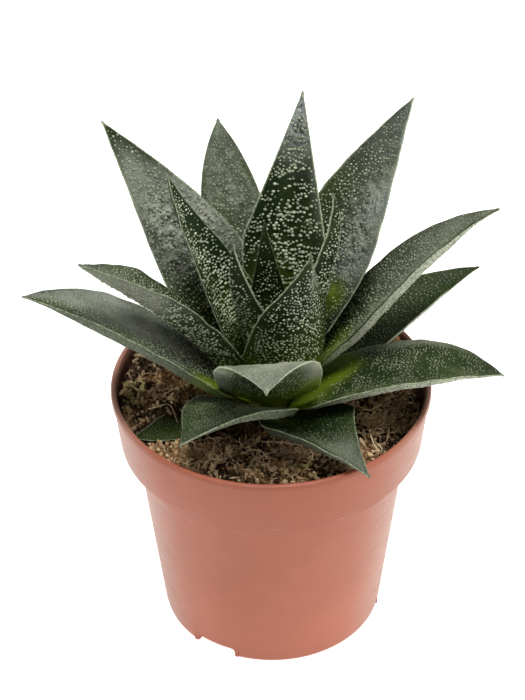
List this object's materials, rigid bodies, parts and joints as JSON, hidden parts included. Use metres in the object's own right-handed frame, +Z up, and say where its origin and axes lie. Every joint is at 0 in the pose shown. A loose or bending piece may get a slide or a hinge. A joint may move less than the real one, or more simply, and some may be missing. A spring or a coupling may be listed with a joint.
{
  "type": "potted succulent plant",
  "caption": "Spotted succulent rosette of pointed tongue-shaped leaves in a round collared nursery pot filled with coarse soil.",
  "frame": {"origin": "centre of the pot's flat underside, on the pot axis, at table level", "axes": "+Z up along the pot axis; -Y towards the side the picture shows; +X to the right in the picture"},
  "size_m": [0.1727, 0.1522, 0.2021],
  "materials": {
    "pot": "satin terracotta-coloured plastic",
    "soil": "dry crumbly peat and coir",
    "crown": "pale green flesh",
    "leaf": "firm dark green leaf, rough with pale warts"
  },
  "bodies": {
    "root": {"pot": "pot", "soil": "soil", "crown": "crown", "leaf_back_left": "leaf", "leaf_back_middle": "leaf", "leaf_back_centre": "leaf", "leaf_back_right": "leaf", "leaf_inner_left": "leaf", "leaf_right": "leaf", "leaf_right_behind": "leaf", "leaf_right_low": "leaf", "leaf_front_right": "leaf", "leaf_front_left": "leaf", "leaf_left": "leaf", "leaf_left_upper": "leaf", "leaf_front": "leaf", "leaf_heart_right": "leaf", "leaf_heart_front": "leaf", "leaf_heart_back": "leaf", "leaf_heart_left": "leaf", "leaf_small_low": "leaf", "leaf_hidden_back": "leaf", "leaf_hidden_back_right": "leaf", "leaf_hidden_back_left": "leaf"}
  },
  "joints": []
}
